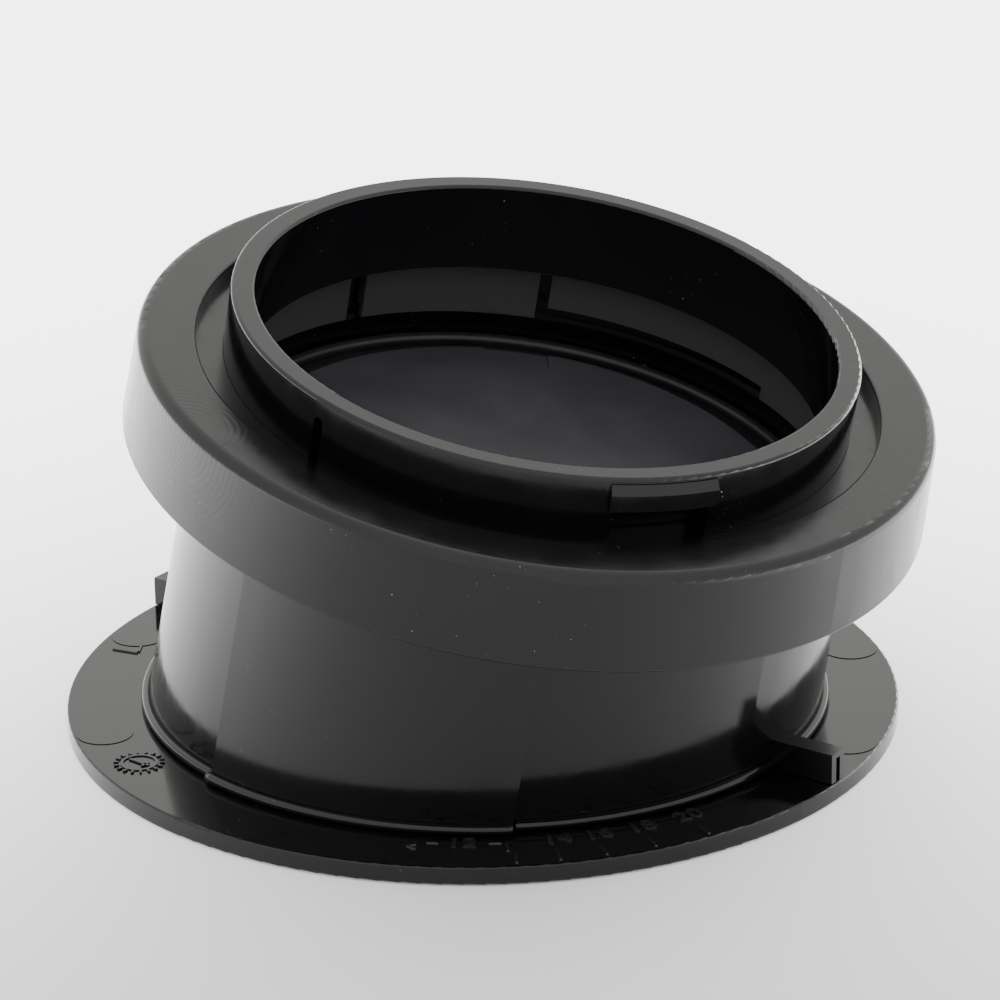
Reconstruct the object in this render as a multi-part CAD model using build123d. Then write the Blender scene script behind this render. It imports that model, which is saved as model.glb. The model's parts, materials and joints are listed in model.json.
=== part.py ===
from build123d import *
import os
from math import radians, sin, tan

# Toilet flange with a tilted collar. Millimetres, +Z up.
# The origin is the centre of the mounting disc's underside. The collar's axis starts there too
# and leans towards +X by TILT. Heights called H_ are measured along that leaning axis.

os.makedirs("parts", exist_ok=True)

# ---- driving dimensions ----
TILT = 12.5                 # lean of the collar's axis, degrees

DISC_R = 75.0               # mounting disc
DISC_T = 3.4
DISC_EDGE = 0.4
DISC_BORE_R = 52.06         # running fit for the spigot's neck
DISC_SINK_R = 54.6          # sink under the disc for the retaining ring
DISC_SINK_DEPTH = 1.9
MARK_R = 5.1                # faint round ejector pads on the disc's top
MARK_H = 0.12
MARK_PITCH_R = 69.4
MARK_ANGLES = (-158.9, -121.4, -79.6, 20.8, 56.4)

SEAL_GAP = 0.05             # between a seal and the face that turns past it
FOOT_SEAL_IN = 55.9
FOOT_SEAL_OUT = 57.9
FOOT_SEAL_BOTTOM = 1.8

FOOT_GAP = 0.2              # between the disc's top and the spigot's foot
FOOT_R = 60.0               # spigot's cone where it meets the disc, square to its axis
FOOT_H = 3.4
WALL_TOP_R = 58.2           # spigot's cone under the skirt ring
WALL_TOP_H = 55.0
WALL = 2.0
BEAD_OUT = 0.9              # small bead along the foot
BEAD_TOP = 1.0
SECTOR_OUT = 1.4            # thicker front sector of the wall, its angles taken round the leaning axis
SECTOR_FROM = -97.2
SECTOR_TO = -43.2
WEB_T = 3.0                 # web from the wall in to the neck
NECK_R = 52.0
NECK_IN_R = 48.0
NECK_BOTTOM = 0.5
RETAINER_GROOVE_R = 51.2
RETAINER_OUT_R = 54.3
RETAINER_BOTTOM = 0.3
RETAINER_TOP = 1.6
RETAINER_GAP = 12.0         # opening of the split ring, degrees

WING_ANGLE = 8.2            # one wing here and one opposite
WING_T = 4.0
WING_TOP = 9.0
WING_END_R = 74.8
WING_GROOVE = 1.2

H_SHELF = 43.5              # shelf for the seat ring and the plug
SHELF_T = 2.4
SHELF_IN_R = 45.0
H_LEDGE = 50.65             # ledge that the collar's sleeve stands on
SPIGOT_TOP_OUT_R = 60.5
H_SHOULDER = 52.6           # where the wall widens inside the skirt ring
H_SPIGOT_TOP = 63.4

H_RING_TOP = 70.0           # skirt ring
RING_TOP_R = 70.0
RING_BOTTOM_R = 70.9
H_RING_BOTTOM = 52.2
RING_EDGE_R = 2.0
RING_SKIRT_T = 3.4
LIP_R = 60.0
LIP_EDGE = 0.5
H_CHANNEL = 67.4
H_WEB_BOTTOM = 63.5
RING_BORE_R = 55.06
SOCKET_T = 2.6
RIB_COUNT = 12
RIB_T = 1.8
H_RIB_BOTTOM = 56.0

COLLAR_R = 55.0             # 110 mm pipe size
COLLAR_IN_R = 50.8
H_COLLAR_TOP = 79.4
RIM_EDGE = 0.6
H_NECK = 62.8               # inside, the narrow tube ends and the wide sleeve starts
SLEEVE_R = 58.0
SLEEVE_IN_R = 56.2
SLEEVE_TIP_R = 57.2
H_SLEEVE_TIP = 53.0
SLEEVE_GAP = 0.05
SLEEVE_LIFT = 0.05

FEATURES = 2                # lugs, slots and fingers repeat on the opposite side
LUG_FROM = -35.6
LUG_TO = -15.9
LUG_OUT = 1.3
H_LUG_BOTTOM = 73.9
H_LUG_TOP = 78.4
LUG_BEVEL = 1.1
POCKET_DEPTH = 3.0          # recess under each lug
OUTER_SLOT_ANGLE = -89.9
OUTER_SLOT_W = 2.0
H_OUTER_SLOT_TOP = 76.0
H_OUTER_SLOT_BOTTOM = 67.0
OUTER_SLOT_DEPTH = 2.4
FINGER_SLOTS = ((168.0, 3.4), (130.5, 2.2))   # angle and width of the slots beside a finger
H_FINGER_SLOT_TOP = 60.0
NOTCH_FROM = 82.7           # notch in the sleeve's bottom edge, for the stop
NOTCH_TO = 129.7
NOTCH_H = 2.5
STOP_FROM = -88.0           # stop on the spigot's ledge, inside the second notch
STOP_TO = -81.0
STOP_T = 1.0
STOP_H = 1.9

SEAL_OUT_R = 59.55          # collar seal, in a groove of the spigot
H_SEAL_BOTTOM = 60.8
H_SEAL_TOP = 62.6

SEAT_IN_R = 49.2            # rubber seat round the plug
SEAT_T = 1.2
BEAD_R = 1.25
BEAD_PITCH_R = 54.9
BEAD_STEM_IN = 53.9
SEAT_CLEAR = 0.1

PLUG_R = 49.0               # blanking plug
PLUG_TOP = 47.3
PLUG_PLATE_T = 1.6
PLUG_SKIRT_T = 2.0
PLUG_EDGE = 0.4
TAB_ANGLE = 134.7
TAB_L = 6.0
TAB_W = 12.0
TAB_DEPTH = 0.5

LEAN = Rot(0, TILT, 0)      # turns the Z axis onto the collar's axis


def cone_r(height):
    """Radius of the spigot's outside at a height along the leaning axis."""
    slope = (FOOT_R - WALL_TOP_R) / (WALL_TOP_H - FOOT_H)
    return WALL_TOP_R + (WALL_TOP_H - height) * slope


def turned(points):
    """Solid of revolution about Z from (radius, height) points. A third number rounds that corner."""
    corners = [Vector(p[0], 0, p[1]) for p in points]
    edges, ends = [], []
    for i, corner in enumerate(corners):
        start = end = corner
        if len(points[i]) == 3:
            radius = points[i][2]
            back = (corners[i - 1] - corner).normalized()
            ahead = (corners[(i + 1) % len(corners)] - corner).normalized()
            half = radians(back.get_angle(ahead) / 2)
            start, end = corner + back * (radius / tan(half)), corner + ahead * (radius / tan(half))
            middle = corner + (back + ahead).normalized() * (radius / sin(half) - radius)
            edges.append(ThreePointArc(start, middle, end))
        ends.append((start, end))
    for i, (start, _) in enumerate(ends):
        edges.append(Line(ends[i - 1][1], start))
    return revolve(make_face(edges), Axis.Z, 360)


def tube(outer, inner, bottom, top):
    """Plain tube about Z."""
    return turned([(inner, bottom), (outer, bottom), (outer, top), (inner, top)])


def rod(radius, bottom, top):
    """Plain cylinder about Z."""
    return Pos(0, 0, (bottom + top) / 2) * Cylinder(radius, top - bottom)


def wedge(outer, inner, bottom, top, start, end):
    """Piece of a tube about Z between two angles."""
    face = make_face(Polyline((inner, 0, bottom), (outer, 0, bottom), (outer, 0, top), (inner, 0, top), close=True))
    return Rot(0, 0, start) * revolve(face, Axis.Z, end - start)


def block(angle, width, inner, outer, bottom, top):
    """Radial block about Z at an angle."""
    length = outer - inner
    box = Pos((inner + outer) / 2, 0, (bottom + top) / 2) * Box(length, width, top - bottom)
    return Rot(0, 0, angle) * box


def save(shape, name):
    shape = shape.clean() if hasattr(shape, "clean") else shape
    shape.label = name
    export_step(shape, f"parts/{name}.step")
    return shape


def base_disc():
    disc = turned([
        (DISC_BORE_R, DISC_SINK_DEPTH), (DISC_SINK_R, DISC_SINK_DEPTH), (DISC_SINK_R, 0),
        (DISC_R, 0, DISC_EDGE), (DISC_R, DISC_T, DISC_EDGE), (DISC_BORE_R, DISC_T)])
    disc -= tube(FOOT_SEAL_OUT, FOOT_SEAL_IN, FOOT_SEAL_BOTTOM, DISC_T + 1)
    for angle in MARK_ANGLES:
        disc += Rot(0, 0, angle) * Pos(MARK_PITCH_R, 0, 0) * rod(MARK_R, DISC_T - 1, DISC_T + MARK_H)
    return disc


def foot_seal():
    return tube(FOOT_SEAL_OUT, FOOT_SEAL_IN, FOOT_SEAL_BOTTOM, DISC_T + FOOT_GAP - SEAL_GAP)


def retaining_ring():
    ring = tube(RETAINER_OUT_R, RETAINER_GROOVE_R, RETAINER_BOTTOM, RETAINER_TOP)
    return ring - wedge(RETAINER_OUT_R + 1, RETAINER_GROOVE_R - 1, RETAINER_BOTTOM - 1, RETAINER_TOP + 1,
                        180 - RETAINER_GAP / 2, 180 + RETAINER_GAP / 2)


def cone(offset, bottom, top):
    """Solid of the spigot's leaning outside, moved out by offset."""
    return LEAN * turned([(0, bottom), (cone_r(bottom) + offset, bottom), (cone_r(top) + offset, top), (0, top)])


def foot_bead(offset):
    """Slice of the leaning cone moved out by offset, just above the disc."""
    foot = DISC_T + FOOT_GAP
    return cone(offset, -20, 30) & rod(DISC_R, foot, foot + BEAD_TOP)


def spigot():
    foot = DISC_T + FOOT_GAP
    low = -20.0             # below the disc on the low side of the lean
    sector_cut = LEAN * wedge(DISC_R + 10, 20, low, 90, SECTOR_FROM, SECTOR_TO)
    body = cone(0, low, H_SHOULDER) + LEAN * rod(SPIGOT_TOP_OUT_R, H_SHOULDER, H_SPIGOT_TOP)
    body += cone(SECTOR_OUT, low, H_RING_BOTTOM) & sector_cut
    body -= Pos(0, 0, foot - 50) * Box(300, 300, 100)
    body += foot_bead(BEAD_OUT)
    body += foot_bead(SECTOR_OUT + BEAD_OUT) & sector_cut
    for angle in (WING_ANGLE, WING_ANGLE + 180):
        wing = block(angle, WING_T, 55, WING_END_R + 5, foot, WING_TOP)
        wing &= rod(WING_END_R, 0, 20)
        wing -= block(angle, WING_GROOVE, WING_END_R - 1, DISC_R + 2, foot - 1, WING_TOP - 1)
        body += wing
    # inside: chamber, shelf, seat bore, sleeve bore
    chamber = LEAN * turned([
        (0, low), (cone_r(low) - WALL, low), (cone_r(H_SHELF - SHELF_T) - WALL, H_SHELF - SHELF_T),
        (0, H_SHELF - SHELF_T)])
    chamber &= Pos(0, 0, foot + WEB_T + 60) * Box(300, 300, 120)
    body -= chamber
    body -= LEAN * turned([
        (0, H_SHELF - SHELF_T - 1), (SHELF_IN_R, H_SHELF - SHELF_T - 1), (SHELF_IN_R, H_SHELF),
        (cone_r(H_LEDGE) - WALL, H_SHELF), (cone_r(H_LEDGE) - WALL, H_LEDGE),
        (SLEEVE_TIP_R + SLEEVE_GAP, H_LEDGE), (SLEEVE_TIP_R + SLEEVE_GAP, H_SLEEVE_TIP),
        (SLEEVE_R + SLEEVE_GAP, H_SLEEVE_TIP), (SLEEVE_R + SLEEVE_GAP, H_SPIGOT_TOP + 1),
        (0, H_SPIGOT_TOP + 1)])
    body -= LEAN * tube(SEAL_OUT_R, SLEEVE_R - 1, H_SEAL_BOTTOM, H_SEAL_TOP)
    # neck through the disc
    body += rod(NECK_R, NECK_BOTTOM, foot + WEB_T)
    body -= rod(NECK_IN_R, NECK_BOTTOM - 1, foot + WEB_T + 1)
    body -= tube(NECK_R + 1, RETAINER_GROOVE_R, RETAINER_BOTTOM, RETAINER_TOP)
    # stop for the collar, on the ledge
    stop = LEAN * wedge(SLEEVE_TIP_R + SLEEVE_GAP + 0.2, SLEEVE_TIP_R - STOP_T, H_LEDGE - 0.5, H_LEDGE + STOP_H,
                        STOP_FROM, STOP_TO)
    return body + stop


def skirt_ring():
    slope = (RING_BOTTOM_R - RING_TOP_R) / (H_RING_TOP - H_RING_BOTTOM)
    inner_low = RING_BOTTOM_R - RING_SKIRT_T
    inner_high = inner_low - slope * (H_WEB_BOTTOM - H_RING_BOTTOM)
    socket_out = SPIGOT_TOP_OUT_R + SOCKET_T
    ring = turned([
        (inner_low, H_RING_BOTTOM, LIP_EDGE), (RING_BOTTOM_R, H_RING_BOTTOM, LIP_EDGE),
        (RING_TOP_R, H_RING_TOP, RING_EDGE_R), (LIP_R, H_RING_TOP, LIP_EDGE), (LIP_R, H_CHANNEL),
        (RING_BORE_R, H_CHANNEL), (RING_BORE_R, H_WEB_BOTTOM), (SPIGOT_TOP_OUT_R, H_WEB_BOTTOM),
        (SPIGOT_TOP_OUT_R, H_SHOULDER), (socket_out, H_SHOULDER), (socket_out, H_WEB_BOTTOM),
        (inner_high, H_WEB_BOTTOM)])
    for i in range(RIB_COUNT):
        rib = block(i * 360 / RIB_COUNT, RIB_T, socket_out - 0.5, inner_low - 0.5, H_RIB_BOTTOM, H_WEB_BOTTOM + 0.5)
        ring += rib
    return LEAN * ring


def collar():
    body = turned([
        (COLLAR_IN_R, H_NECK), (SLEEVE_IN_R, H_NECK - (SLEEVE_IN_R - COLLAR_IN_R) * 0.5),
        (SLEEVE_IN_R, H_LEDGE + SLEEVE_LIFT), (SLEEVE_TIP_R, H_LEDGE + SLEEVE_LIFT),
        (SLEEVE_TIP_R, H_SLEEVE_TIP + SLEEVE_LIFT), (SLEEVE_R, H_SLEEVE_TIP + SLEEVE_LIFT),
        (SLEEVE_R, H_WEB_BOTTOM - SLEEVE_LIFT), (COLLAR_R, H_WEB_BOTTOM - SLEEVE_LIFT),
        (COLLAR_R, H_COLLAR_TOP, RIM_EDGE), (COLLAR_IN_R, H_COLLAR_TOP, RIM_EDGE)])
    lug_profile = make_face(Polyline(
        (COLLAR_R - 0.5, 0, H_LUG_BOTTOM), (COLLAR_R + LUG_OUT, 0, H_LUG_BOTTOM),
        (COLLAR_R + LUG_OUT, 0, H_LUG_TOP - 1.4 * LUG_BEVEL), (COLLAR_R + LUG_OUT - LUG_BEVEL, 0, H_LUG_TOP),
        (COLLAR_R - 0.5, 0, H_LUG_TOP), close=True))
    lug = revolve(lug_profile, Axis.Z, LUG_TO - LUG_FROM)
    for i in range(FEATURES):
        turn = i * 360 / FEATURES
        body += Rot(0, 0, LUG_FROM + turn) * lug
        body -= wedge(COLLAR_R + 1, COLLAR_R - POCKET_DEPTH, H_CHANNEL - 0.4, H_LUG_BOTTOM,
                      LUG_FROM + 1.0 + turn, LUG_TO - 0.6 + turn)
        slot_in = COLLAR_R - OUTER_SLOT_DEPTH
        slot_cap = H_OUTER_SLOT_TOP - OUTER_SLOT_W / 2
        slot = block(OUTER_SLOT_ANGLE + turn, OUTER_SLOT_W, slot_in, COLLAR_R + 1, H_OUTER_SLOT_BOTTOM, slot_cap)
        cap = Rot(0, 0, OUTER_SLOT_ANGLE + turn) * Pos((slot_in + COLLAR_R + 1) / 2, 0, slot_cap)
        cap = cap * Rot(0, 90, 0) * Cylinder(OUTER_SLOT_W / 2, OUTER_SLOT_DEPTH + 1)
        body -= slot
        body -= cap
        for angle, width in FINGER_SLOTS:
            body -= block(angle + turn, width, SLEEVE_IN_R - 4, SLEEVE_R + 2, H_LEDGE - 1, H_FINGER_SLOT_TOP)
        body -= wedge(SLEEVE_R + 2, SLEEVE_IN_R - 2, H_LEDGE - 1, H_LEDGE + NOTCH_H, NOTCH_FROM + turn, NOTCH_TO + turn)
    return LEAN * body


def collar_seal():
    return LEAN * tube(SEAL_OUT_R, SLEEVE_R + SEAL_GAP, H_SEAL_BOTTOM, H_SEAL_TOP)


def seat_ring():
    outer = cone_r(H_LEDGE) - WALL - SEAT_CLEAR
    stem_out = BEAD_PITCH_R + 1.0
    bead_h = PLUG_TOP - 0.4 - BEAD_R
    ring = tube(outer, SEAT_IN_R, H_SHELF, H_SHELF + SEAT_T)
    ring += tube(stem_out, BEAD_STEM_IN, H_SHELF + SEAT_T - 0.2, bead_h)
    ring += Pos(0, 0, bead_h) * Torus(BEAD_PITCH_R, BEAD_R)
    return LEAN * ring


def blanking_plug():
    top = PLUG_TOP
    body = turned([
        (0, top - PLUG_PLATE_T), (PLUG_R - PLUG_SKIRT_T, top - PLUG_PLATE_T), (PLUG_R - PLUG_SKIRT_T, H_SHELF),
        (PLUG_R, H_SHELF), (PLUG_R, top, PLUG_EDGE), (0, top)])
    body -= block(TAB_ANGLE, TAB_W, PLUG_R - TAB_L, PLUG_R + 1, top - TAB_DEPTH, top + 1)
    return LEAN * body


MAKERS = (base_disc, foot_seal, retaining_ring, spigot, skirt_ring, collar, collar_seal, seat_ring, blanking_plug)
for make in MAKERS:
    save(make(), make.__name__)
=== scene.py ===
import json
from math import acos, cos, degrees, pi, radians, sin

import bmesh
import bpy
from mathutils import Matrix, Vector


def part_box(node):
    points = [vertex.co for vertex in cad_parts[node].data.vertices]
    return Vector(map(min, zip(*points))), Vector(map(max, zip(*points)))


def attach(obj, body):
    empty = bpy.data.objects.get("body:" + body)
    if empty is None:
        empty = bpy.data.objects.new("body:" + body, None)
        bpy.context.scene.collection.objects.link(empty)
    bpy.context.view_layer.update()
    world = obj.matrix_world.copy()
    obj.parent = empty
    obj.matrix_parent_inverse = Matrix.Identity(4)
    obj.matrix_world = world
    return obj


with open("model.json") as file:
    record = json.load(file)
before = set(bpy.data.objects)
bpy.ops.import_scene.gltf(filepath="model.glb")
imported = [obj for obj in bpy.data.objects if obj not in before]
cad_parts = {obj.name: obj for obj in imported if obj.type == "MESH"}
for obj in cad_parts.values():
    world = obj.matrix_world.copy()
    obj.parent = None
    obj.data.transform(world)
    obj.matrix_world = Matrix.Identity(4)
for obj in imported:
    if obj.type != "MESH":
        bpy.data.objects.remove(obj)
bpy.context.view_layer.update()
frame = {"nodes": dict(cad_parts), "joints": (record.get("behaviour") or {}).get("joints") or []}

MM = 0.001
nodes = frame["nodes"]

# ---- what the frame says ----
joints = {j["name"]: j for j in frame["joints"]}
LEAN_AXIS = Vector(joints["collar_turn"]["axis"]).normalized()
LEAN = Vector((0, 0, 1)).rotation_difference(LEAN_AXIS).to_matrix().to_4x4()
DISC_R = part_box("base_disc")[1].x
DISC_TOP = 3.4 * MM                       # the disc's flat top, below its faint round pads
SLEEVE_TOP = 62.8 * MM                    # height along the leaning axis where the collar's sleeve starts

SWIRL_AT = LEAN @ Vector((70 * MM * cos(radians(-104)), 70 * MM * sin(radians(-104)), 68 * MM))   # flow mark

# ---- the scale on the disc ----
SCALE_VALUES = (12, 14, 16, 18, 20)       # lean in degrees, read at the edge of the thick wall sector
SCALE_LIMIT = 24.0                        # lean with both slanted halves adding up
SCALE_START = 17.7                        # angle on the disc where the limit would stand
MARK_H = 0.3 * MM                         # how far raised marks stand up
MARK_W = 0.5 * MM
TEXT_H = 5.0 * MM
LABEL_R = 0.883 * DISC_R
TICK_IN, TICK_OUT = 0.945 * DISC_R, 0.988 * DISC_R

# ---- camera, at the photograph's viewing angle, in the part's own frame ----
CAMERA_AT = Vector((0.50756, -0.52777, 0.31947))
CAMERA_TO = Vector((0.00265, 0.00252, 0.03960))
CAMERA_ROLL = -0.886
CAMERA_LENS = 158.4


def scale_angle(value):
    """Angle on the disc, in degrees, where the scale reads value."""
    return SCALE_START - degrees(acos(sin(radians(value / 2)) / sin(radians(SCALE_LIMIT / 2))))


# ---------------------------------------------------------------- materials
DEEP_BLACK = (0.0028, 0.0028, 0.0036)
GLOSS = {"shade": DEEP_BLACK, "rough": 0.1, "rough_span": 0.09, "orange_peel": 0.1, "flow": (1, 1, 0.12),
         "flow_bump": 0.05, "dust": 1.0}
DUST_SHADE = (0.55, 0.55, 0.53)
# painted light: the sleeve's colour is far lighter than the black plastic, to brighten the sleeve in the shade
# under the overhang; its roughness is the real unglossy finish
SLEEVE_PAINTED_LIGHT, SLEEVE_ROUGH = (0.05, 0.05, 0.052), 0.5


def set_range(node, low, high, out_low, out_high):
    """Fill in a Map Range node."""
    for socket, value in zip(("From Min", "From Max", "To Min", "To Max"), (low, high, out_low, out_high)):
        node.inputs[socket].default_value = value


class Shader:
    """Small helper that lays out the nodes of one material."""

    def __init__(self, name, **surface):
        self.material = bpy.data.materials.new(name)
        self.material.use_nodes = True
        self.tree = self.material.node_tree
        self.bsdf = self.tree.nodes["Principled BSDF"]
        for socket, value in surface.items():
            self.bsdf.inputs[socket.replace("_", " ")].default_value = value
        self.place = self.node("ShaderNodeTexCoord").outputs["Object"]

    def node(self, kind, **settings):
        made = self.tree.nodes.new(kind)
        for key, value in settings.items():
            if hasattr(made, key):
                setattr(made, key, value)
            else:
                made.inputs[key.replace("_", " ")].default_value = value
        return made

    def link(self, out, into):
        self.tree.links.new(out, into)

    def noise(self, scale, detail=4.0, rough=0.5, stretch=(1, 1, 1), distort=0.0):
        mapping = self.node("ShaderNodeMapping")
        mapping.inputs["Scale"].default_value = stretch
        self.link(self.place, mapping.inputs["Vector"])
        made = self.node("ShaderNodeTexNoise", Scale=scale, Detail=detail, Roughness=rough, Distortion=distort)
        self.link(mapping.outputs["Vector"], made.inputs["Vector"])
        return made.outputs["Fac"]

    def spread(self, value, low, high, out_low, out_high):
        made = self.node("ShaderNodeMapRange", clamp=True)
        set_range(made, low, high, out_low, out_high)
        self.link(value, made.inputs["Value"])
        return made.outputs["Result"]

    def mix(self, factor, first, second):
        made = self.node("ShaderNodeMix", data_type="RGBA")
        self.link(factor, made.inputs["Factor"])
        for socket, value in ((made.inputs[6], first), (made.inputs[7], second)):
            if isinstance(value, tuple):
                socket.default_value = (*value, 1)
            else:
                self.link(value, socket)
        return made.outputs[2]

    def maths(self, operation, first, second):
        made = self.node("ShaderNodeMath", operation=operation)
        for socket, value in zip(made.inputs, (first, second)):
            if isinstance(value, (int, float)):
                socket.default_value = value
            else:
                self.link(value, socket)
        return made.outputs[0]

    def bump(self, height, strength, distance, onto=None):
        made = self.node("ShaderNodeBump", Strength=strength, Distance=distance)
        self.link(height, made.inputs["Height"])
        if onto is not None:
            self.link(onto, made.inputs["Normal"])
        return made.outputs["Normal"]


def moulded(name, shade, rough, rough_span, orange_peel, flow=(1, 1, 1), flow_bump=0.0, dust=0.0, swirl=0.0):
    """Shader for black moulded plastic: colour drift, uneven gloss, orange peel, a flow mark, dust."""
    s = Shader(name, IOR=1.5, Specular_IOR_Level=0.36)
    drift = s.noise(45, 5, 0.55)
    darker, lighter = tuple(c * 0.8 for c in shade), tuple(c * 1.25 for c in shade)
    base = s.mix(s.spread(drift, 0.3, 0.7, 0, 1), darker, lighter)
    specks = s.spread(s.noise(2600, 1.0, 0.4), 0.79, 0.81, 0, 1)
    thin = s.spread(s.noise(60, 3, 0.6), 0.52, 0.66, 0, 1)
    grains = s.maths("MULTIPLY", s.maths("MULTIPLY", specks, thin), dust)
    s.link(s.mix(grains, base, DUST_SHADE), s.bsdf.inputs["Base Color"])
    smear = s.noise(140, 6, 0.65, flow)
    s.link(s.maths("MAXIMUM", s.spread(smear, 0.35, 0.7, rough, rough + rough_span), grains),
           s.bsdf.inputs["Roughness"])
    normal = s.bump(s.noise(900, 2, 0.5), orange_peel, 0.05 * MM)
    if flow_bump:
        normal = s.bump(s.noise(260, 3, 0.5, flow), flow_bump, 0.12 * MM, normal)
    if swirl:
        centred = s.node("ShaderNodeVectorMath", operation="SUBTRACT")
        s.link(s.place, centred.inputs[0])
        centred.inputs[1].default_value = SWIRL_AT
        rings = s.node("ShaderNodeTexWave", wave_type="RINGS", rings_direction="SPHERICAL", Scale=260.0,
                       Distortion=2.5, Detail=2.0)
        s.link(centred.outputs["Vector"], rings.inputs["Vector"])
        away_from = s.node("ShaderNodeVectorMath", operation="LENGTH")
        s.link(centred.outputs["Vector"], away_from.inputs[0])
        patch = s.spread(away_from.outputs["Value"], 8 * MM, 24 * MM, 1, 0)
        normal = s.bump(s.maths("MULTIPLY", rings.outputs["Fac"], patch), swirl, 0.03 * MM, normal)
    s.link(normal, s.bsdf.inputs["Normal"])
    return s


def collar_plastic(name):
    """The gloss plastic of the collar, with a rough, unglossy sleeve below the narrow tube whose colour is
    lightened: painted light against the shade under the overhang.
    """
    s = moulded(name, **GLOSS)
    along = s.node("ShaderNodeVectorMath", operation="DOT_PRODUCT")
    s.link(s.place, along.inputs[0])
    along.inputs[1].default_value = LEAN_AXIS
    # painted light: this mask lightens the sleeve's colour below SLEEVE_TOP, and also gives the sleeve its
    # real rough finish
    matt_and_painted_light = s.spread(along.outputs["Value"], SLEEVE_TOP - 0.4 * MM, SLEEVE_TOP, 1, 0)
    colour, roughness = s.bsdf.inputs["Base Color"], s.bsdf.inputs["Roughness"]
    s.link(s.mix(matt_and_painted_light, colour.links[0].from_socket, SLEEVE_PAINTED_LIGHT), colour)
    sleeve_rough = s.maths("MULTIPLY", matt_and_painted_light, SLEEVE_ROUGH)
    s.link(s.maths("MAXIMUM", roughness.links[0].from_socket, sleeve_rough), roughness)
    return s.material


def soft_rubber(name):
    """Smooth black rubber with a faint bloom."""
    s = Shader(name, IOR=1.5, Specular_IOR_Level=0.3)
    bloom = s.spread(s.noise(70, 5, 0.6), 0.35, 0.7, 0, 1)
    s.link(s.mix(bloom, (0.008, 0.008, 0.009), (0.014, 0.014, 0.015)), s.bsdf.inputs["Base Color"])
    s.link(s.spread(s.noise(300, 4, 0.6), 0.3, 0.7, 0.3, 0.42), s.bsdf.inputs["Roughness"])
    s.link(s.bump(s.noise(1500, 2, 0.5), 0.12, 0.04 * MM), s.bsdf.inputs["Normal"])
    return s.material


gloss = moulded("gloss_black", **GLOSS).material
disc_gloss = moulded("disc_black", (0.0027, 0.0028, 0.003), 0.07, 0.08, 0.08, dust=1.0).material
satin = moulded("satin_black", (0.003, 0.003, 0.0036), 0.17, 0.12, 0.15, flow=(1, 1, 0.4), flow_bump=0.08,
                dust=1.0, swirl=0.3).material
collar_black = collar_plastic("collar_black")
hidden = moulded("inner_black", (0.003, 0.003, 0.0036), 0.22, 0.12, 0.12, dust=0.2).material
plug_black = moulded("plug_black", (0.034, 0.034, 0.041), 0.38, 0.1, 0.1, dust=0.6).material
mark_black = moulded("mark_black", (0.012, 0.012, 0.013), 0.14, 0.1, 0.1).material
rubber = soft_rubber("seal_rubber")

FINISH = {
    "base_disc": disc_gloss, "spigot": gloss, "skirt_ring": satin, "collar": collar_black,
    "blanking_plug": plug_black,
    "retaining_ring": hidden, "foot_seal": rubber, "collar_seal": rubber, "seat_ring": rubber,
}
for name, finish in FINISH.items():
    nodes[name].data.materials.clear()
    nodes[name].data.materials.append(finish)


# ---------------------------------------------------------------- raised marks on the disc
def on_disc(radius, angle, turn=0.0, height=0.0):
    """Matrix that lays a mark flat on the disc, its top pointing inwards or turned from that."""
    place = Matrix.Rotation(radians(angle), 4, "Z") @ Matrix.Translation((radius, 0, DISC_TOP + height))
    return place @ Matrix.Rotation(radians(90 + turn), 4, "Z")


def add_piece(name, mesh, matrix, material, body="base"):
    """Object for a mesh that moves with a body of the frame."""
    piece = bpy.data.objects.new(name, mesh)
    bpy.context.scene.collection.objects.link(piece)
    piece.matrix_world = matrix
    mesh.materials.append(material)
    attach(piece, body)
    return piece


def bar_mesh(name, length, width, height, draft=0.15):
    """Low raised bar lying along X, its top a little narrower than its foot."""
    corners = []
    for inset, z in ((0, 0), (draft * width, height)):
        x, y = length / 2 - inset, width / 2 - inset
        corners += [(-x, -y, z), (x, -y, z), (x, y, z), (-x, y, z)]
    faces = [(3, 2, 1, 0), (4, 5, 6, 7), (0, 1, 5, 4), (1, 2, 6, 5), (2, 3, 7, 6), (3, 0, 4, 7)]
    mesh = bpy.data.meshes.new(name)
    mesh.from_pydata(corners, [], faces)
    return mesh


def number(name, text, radius, angle):
    """Raised figure on the disc, read from outside."""
    curve = bpy.data.curves.new(name, "FONT")
    curve.body = text
    curve.size = TEXT_H
    curve.align_x, curve.align_y = "CENTER", "CENTER"
    curve.extrude = MARK_H / 2
    curve.offset = 0.05 * MM
    curve.bevel_depth = 0.04 * MM
    curve.space_character = 1.05
    holder = bpy.data.objects.new(name + "_curve", curve)
    bpy.context.scene.collection.objects.link(holder)
    bpy.context.view_layer.update()
    mesh = bpy.data.meshes.new_from_object(holder.evaluated_get(bpy.context.evaluated_depsgraph_get()))
    mesh.name = name
    bpy.data.objects.remove(holder)
    return add_piece(name, mesh, on_disc(radius, angle, 0, MARK_H / 2), mark_black)


def bar(name, length, width, radius, angle, turn):
    """Raised bar on the disc."""
    return add_piece(name, bar_mesh(name, length, width, MARK_H), on_disc(radius, angle, turn), mark_black)


for value in SCALE_VALUES:
    angle = scale_angle(value)
    bar(f"tick_{value}", TICK_OUT - TICK_IN, MARK_W, (TICK_IN + TICK_OUT) / 2, angle, 90)
    first = value == SCALE_VALUES[0]
    number(f"number_{value}", str(value), LABEL_R, angle - 7.4 if first else angle + 0.8)

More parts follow.
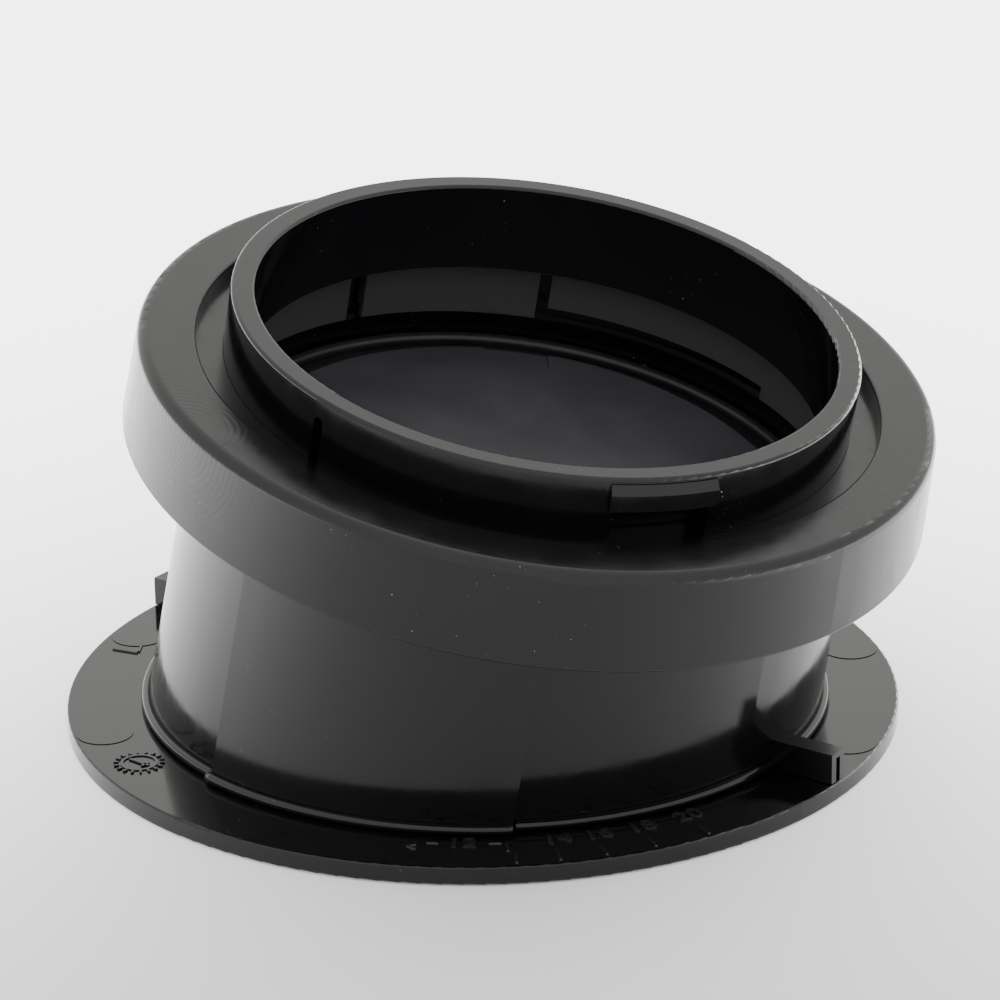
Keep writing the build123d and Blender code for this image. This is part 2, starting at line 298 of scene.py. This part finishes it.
# bracket from the first figure to its tick, and an arrow that points the other way
first_angle = scale_angle(SCALE_VALUES[0])
bar("bracket_side", 2.2 * MM, MARK_W, LABEL_R, first_angle - 2.6, 0)
bar("bracket_turn", 2.6 * MM, MARK_W, LABEL_R + 1.9 * MM, first_angle - 0.9, 90)
bar("arrow_shaft", 2.0 * MM, MARK_W, LABEL_R, first_angle - 11.7, 0)
bar("arrow_upper", 1.7 * MM, MARK_W, LABEL_R + 1.3 * MM, first_angle - 14.6, 35)
bar("arrow_lower", 1.7 * MM, MARK_W, LABEL_R + 2.2 * MM, first_angle - 14.4, -35)

# corner mark and date wheel, left by the mould
CORNER_R, CORNER_ANGLE = 0.918 * DISC_R, -152.6
bar("corner_long", 5.2 * MM, 0.6 * MM, CORNER_R, CORNER_ANGLE, 82)
bar("corner_short", 3.0 * MM, 0.6 * MM, CORNER_R - 2.3 * MM, CORNER_ANGLE - 1.4, 12)


def date_wheel(name, radius, teeth, angle, pitch_radius):
    """Ring of small raised teeth round a shallow raised ring with a pointer across it."""
    mesh = bpy.data.meshes.new(name)
    made = bmesh.new()
    steps, ring_top = 48, 0.7 * MARK_H
    circle = [(cos(2 * pi * i / steps), sin(2 * pi * i / steps)) for i in range(steps)]
    bottom = [made.verts.new((r * x, r * y, 0)) for r in (0.62 * radius, 0.74 * radius) for x, y in circle]
    upper = [made.verts.new((v.co.x, v.co.y, ring_top)) for v in bottom]
    for i in range(steps):
        j = (i + 1) % steps
        made.faces.new((upper[i], upper[steps + i], upper[steps + j], upper[j]))
        made.faces.new((bottom[steps + i], bottom[steps + j], upper[steps + j], upper[steps + i]))
        made.faces.new((bottom[j], bottom[i], upper[i], upper[j]))
        made.faces.new((bottom[i], bottom[j], bottom[steps + j], bottom[steps + i]))
    pointer_turn = 0.4
    bars = [(0.9, 2 * pi * i / teeth, 0.2, 0.09) for i in range(teeth)]
    bars += [(0, pointer_turn, 1.0, 0.12), (0.32, pointer_turn, 0.1, 0.4)]
    for place, turn, length, width in bars:
        box = bmesh.ops.create_cube(made, size=1)["verts"]
        shape = Matrix.Rotation(turn, 4, "Z") @ Matrix.Translation((place * radius, 0, MARK_H / 2))
        shape @= Matrix.Diagonal((length * radius, width * radius, MARK_H, 1))
        bmesh.ops.transform(made, matrix=shape, verts=box)
    made.to_mesh(mesh)
    made.free()
    return add_piece(name, mesh, on_disc(pitch_radius, angle), mark_black)


date_wheel("date_wheel", 4.5 * MM, 18, -109.0, 0.901 * DISC_R)


# ---------------------------------------------------------------- rounded bead along the tube's foot
CONE_R, CONE_H = 60.0 * MM, 3.4 * MM      # leaning tube's outside radius at a height along its axis
CONE_SLOPE = 1.8 / 51.6                   # how fast it narrows upwards
FOOT_Z = 3.6 * MM
SECTOR_OUT = 1.4 * MM                     # thick sector of the wall, and where it ends round the leaning axis
SECTOR_FROM, SECTOR_TO = -97.2, -43.2
BEAD_R = 0.95 * MM
BEAD_LIFT, BEAD_OUT = 0.8 * MM, 0.42 * MM      # the bead's middle, up from the foot and out from the wall


def wall_point(angle, z, offset):
    """Point on the leaning tube's outside, moved out by offset, at a height z above the disc's underside."""
    side, front = LEAN.to_3x3() @ Vector((1, 0, 0)), Vector((0, 1, 0))
    out = side * cos(radians(angle)) + front * sin(radians(angle))
    height = z
    for _ in range(8):      # the radius depends on the height along the axis, and settles in a few rounds
        radius = CONE_R - CONE_SLOPE * (height - CONE_H) + offset
        height = (z - out.z * radius) / LEAN_AXIS.z
    return LEAN_AXIS * height + out * radius, out


def bead(name, start, end, offset):
    """Rounded bead that follows the tube's foot between two angles."""
    steps, sides = max(8, int(abs(end - start))), 12
    points, faces = [], []
    for i in range(steps + 1):
        centre, out = wall_point(start + (end - start) * i / steps, FOOT_Z + BEAD_LIFT, offset + BEAD_OUT)
        flat = Vector((out.x, out.y, 0)).normalized()
        for k in range(sides):
            a = 2 * pi * k / sides
            points.append(centre + BEAD_R * (flat * cos(a) + Vector((0, 0, sin(a)))))
    for i in range(steps):
        for k in range(sides):
            j = (k + 1) % sides
            faces.append((i * sides + k, (i + 1) * sides + k, (i + 1) * sides + j, i * sides + j))
    faces += [tuple(range(sides)), tuple(range(steps * sides + sides - 1, steps * sides - 1, -1))]
    mesh = bpy.data.meshes.new(name)
    mesh.from_pydata(points, [], faces)
    mesh.update()
    for face in mesh.polygons:
        face.use_smooth = len(face.vertices) == 4
    return add_piece(name, mesh, Matrix.Identity(4), gloss, body="spigot")


bead("foot_bead", SECTOR_TO, SECTOR_FROM + 360, 0)
bead("foot_bead_sector", SECTOR_FROM, SECTOR_TO, SECTOR_OUT)


# ---------------------------------------------------------------- light, floor and camera
# painted light on the floor: its emission glow grows from the camera's side to the far side and out to both
# sides
FLOOR_FROM, FLOOR_TO, FLOOR_GLOW, FLOOR_WRAP = -0.12, 0.35, 3.6, 0.9
FLOOR_HALF, FLOOR_Z = 3.0, -0.2 * MM
PAPER_SHADE, WARM_LIGHT = (0.86, 0.875, 0.92, 1), (1, 0.985, 0.96, 1)

world = bpy.data.worlds.new("studio")
world.use_nodes = True
world.node_tree.nodes["Background"].inputs["Color"].default_value = (1, 0.99, 0.965, 1)
world.node_tree.nodes["Background"].inputs["Strength"].default_value = 1.65
bpy.context.scene.world = world

floor_mesh = bpy.data.meshes.new("floor")
floor_corners = [(x * FLOOR_HALF, y * FLOOR_HALF, FLOOR_Z) for x, y in ((-1, -1), (1, -1), (1, 1), (-1, 1))]
floor_mesh.from_pydata(floor_corners, [], [(0, 1, 2, 3)])
floor = bpy.data.objects.new("floor", floor_mesh)
bpy.context.scene.collection.objects.link(floor)
paper = Shader("white_paper", Roughness=0.9)
paper.bsdf.inputs["Base Color"].default_value = PAPER_SHADE
paper.bsdf.inputs["Emission Color"].default_value = WARM_LIGHT
away = Vector((CAMERA_TO.x - CAMERA_AT.x, CAMERA_TO.y - CAMERA_AT.y, 0)).normalized()
across = Vector((away.y, -away.x, 0))
split = [paper.node("ShaderNodeVectorMath", operation="DOT_PRODUCT") for _ in range(2)]
for made, direction in zip(split, (away, across)):
    paper.link(paper.place, made.inputs[0])
    made.inputs[1].default_value = direction
depth = split[0].outputs["Value"]
width = paper.maths("ABSOLUTE", split[1].outputs["Value"], 0)
reach = paper.maths("ADD", depth, paper.maths("MULTIPLY", width, FLOOR_WRAP))
# painted glow: the paper's emission strength is graded by position, dim on the camera's side and bright beyond
# the part
painted_floor_glow = paper.node("ShaderNodeMapRange", clamp=True, interpolation_type="SMOOTHSTEP")
set_range(painted_floor_glow, FLOOR_FROM, FLOOR_TO, 0, FLOOR_GLOW)
paper.link(reach, painted_floor_glow.inputs["Value"])
paper.link(painted_floor_glow.outputs["Result"], paper.bsdf.inputs["Emission Strength"])
floor_mesh.materials.append(paper.material)

camera_data = bpy.data.cameras.new("camera")
camera_data.sensor_width = 36
camera_data.lens = CAMERA_LENS
camera = bpy.data.objects.new("camera", camera_data)
look = (CAMERA_TO - CAMERA_AT).to_track_quat("-Z", "Y").to_matrix().to_4x4()
camera.matrix_world = Matrix.Translation(CAMERA_AT) @ look @ Matrix.Rotation(radians(CAMERA_ROLL), 4, "Z")
bpy.context.scene.collection.objects.link(camera)
bpy.context.scene.camera = camera
